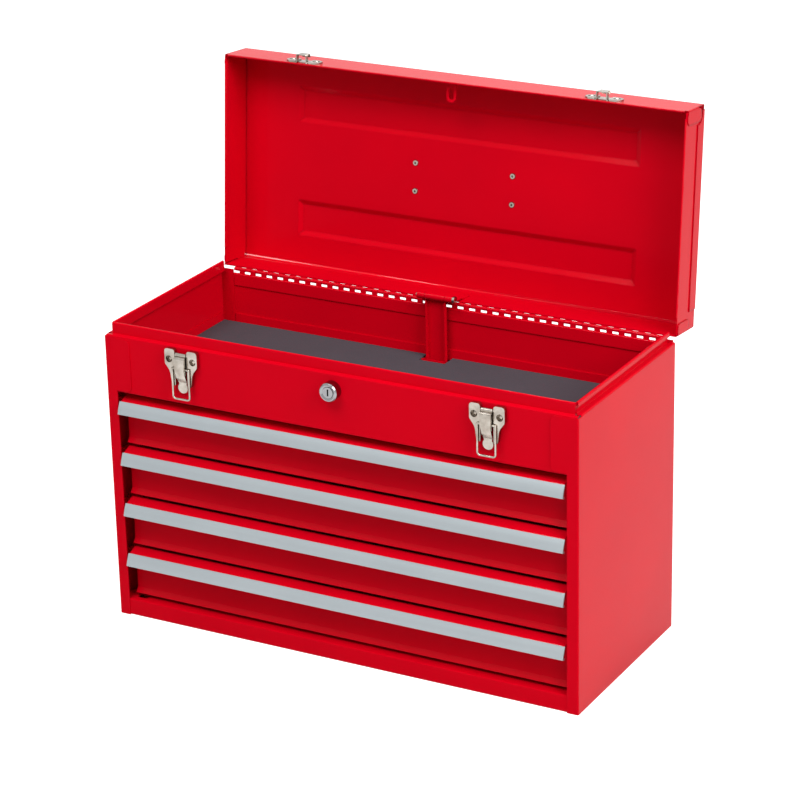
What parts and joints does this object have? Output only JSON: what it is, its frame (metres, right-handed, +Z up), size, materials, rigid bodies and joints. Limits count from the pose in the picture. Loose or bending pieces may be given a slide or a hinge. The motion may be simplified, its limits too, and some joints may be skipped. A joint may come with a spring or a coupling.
{
  "type": "portable tool box with drawers",
  "caption": "Portable sheet steel tool box with full-width drawers, an open tray under a hinged lid, toggle latches, a front lock and a carrying handle.",
  "frame": {"origin": "middle of the cabinet's bottom face", "axes": "+X to the right seen from the drawers, +Y to the back, +Z up"},
  "size_m": [0.52, 0.3043, 0.5401],
  "materials": {
    "red_paint": "semi-gloss red enamel",
    "foam_mat": "matt dark grey foam",
    "black_grip": "matt black moulded grip",
    "satin_aluminium": "satin anodised aluminium",
    "bright_chrome": "bright chrome plate",
    "zinc_plate": "bright zinc or nickel plate"
  },
  "bodies": {
    "cabinet": {"side_panel_left": "red_paint", "side_panel_right": "red_paint", "front_panel": "red_paint", "bottom_panel": "red_paint", "rear_panel": "red_paint", "tray_panel": "red_paint", "tray_mat": "foam_mat", "runner_left_1": "red_paint", "runner_left_2": "red_paint", "runner_left_3": "red_paint", "runner_left_4": "red_paint", "runner_right_1": "red_paint", "runner_right_2": "red_paint", "runner_right_3": "red_paint", "runner_right_4": "red_paint", "hinge_leaf_lower": "red_paint", "hinge_pin": "zinc_plate", "lock_housing": "bright_chrome", "lock_nut": "zinc_plate", "latch_base_left": "zinc_plate", "latch_base_right": "zinc_plate", "latch_rivets": "zinc_plate"},
    "lid": {"lid_shell": "red_paint", "lid_end_left": "red_paint", "lid_end_right": "red_paint", "hinge_leaf_upper": "red_paint", "lid_strike": "red_paint", "lid_catch_left": "zinc_plate", "lid_catch_right": "zinc_plate", "catch_rivets": "zinc_plate", "bar_bracket": "red_paint", "bar_pin": "zinc_plate", "handle_bracket_left": "zinc_plate", "handle_bracket_right": "zinc_plate", "handle_rivets": "zinc_plate"},
    "bar": {"lock_bar": "red_paint"},
    "handle": {"handle_bail": "zinc_plate", "handle_grip": "black_grip"},
    "lock": {"lock_plug": "bright_chrome", "lock_cam": "zinc_plate"},
    "drawer_1": {"drawer_pan_1": "red_paint", "drawer_front_1": "red_paint", "drawer_pull_1": "satin_aluminium"},
    "drawer_2": {"drawer_pan_2": "red_paint", "drawer_front_2": "red_paint", "drawer_pull_2": "satin_aluminium"},
    "drawer_3": {"drawer_pan_3": "red_paint", "drawer_front_3": "red_paint", "drawer_pull_3": "satin_aluminium"},
    "drawer_4": {"drawer_pan_4": "red_paint", "drawer_front_4": "red_paint", "drawer_pull_4": "satin_aluminium"},
    "lever_left": {"latch_lever_left": "zinc_plate"},
    "bail_left": {"latch_bail_left": "zinc_plate"},
    "lever_right": {"latch_lever_right": "zinc_plate"},
    "bail_right": {"latch_bail_right": "zinc_plate"}
  },
  "joints": [
    {"name": "lid_hinge", "type": "hinge", "parent": "cabinet", "child": "lid", "pos_m": [0, 0.11275, 0.3064], "axis": [1, 0, 0], "range_deg": [0, 94.7]},
    {"name": "bar_pivot", "type": "hinge", "parent": "lid", "child": "bar", "pos_m": [0, 0.10123, 0.31517], "axis": [1, 0, 0], "range_deg": [-94.7, 0]},
    {"name": "handle_pivot", "type": "hinge", "parent": "lid", "child": "handle", "pos_m": [0, 0.175, 0.41557], "axis": [1, 0, 0], "range_deg": [-3.2, 174]},
    {"name": "lock_turn", "type": "hinge", "parent": "cabinet", "child": "lock", "pos_m": [0, -0.11075, 0.289], "axis": [0, 1, 0], "range_deg": [0, 90]},
    {"name": "drawer_slide_1", "type": "slide", "parent": "cabinet", "child": "drawer_1", "axis": [0, -1, 0], "range_m": [0, 0.15]},
    {"name": "drawer_slide_2", "type": "slide", "parent": "cabinet", "child": "drawer_2", "axis": [0, -1, 0], "range_m": [0, 0.15]},
    {"name": "drawer_slide_3", "type": "slide", "parent": "cabinet", "child": "drawer_3", "axis": [0, -1, 0], "range_m": [0, 0.15]},
    {"name": "drawer_slide_4", "type": "slide", "parent": "cabinet", "child": "drawer_4", "axis": [0, -1, 0], "range_m": [0, 0.15]},
    {"name": "lever_pivot_left", "type": "hinge", "parent": "cabinet", "child": "lever_left", "pos_m": [-0.168, -0.11395, 0.2982], "axis": [-1, 0, 0], "range_deg": [0, 110]},
    {"name": "bail_pivot_left", "type": "hinge", "parent": "lever_left", "child": "bail_left", "pos_m": [-0.168, -0.11655, 0.2846], "axis": [1, 0, 0], "range_deg": [-170, 0]},
    {"name": "lever_pivot_right", "type": "hinge", "parent": "cabinet", "child": "lever_right", "pos_m": [0.168, -0.11395, 0.2982], "axis": [-1, 0, 0], "range_deg": [0, 110]},
    {"name": "bail_pivot_right", "type": "hinge", "parent": "lever_right", "child": "bail_right", "pos_m": [0.168, -0.11655, 0.2846], "axis": [1, 0, 0], "range_deg": [-170, 0]}
  ],
  "couplings": [
    {"joint": "bar_pivot", "follows": "lid_hinge", "ratio": -1}
  ]
}
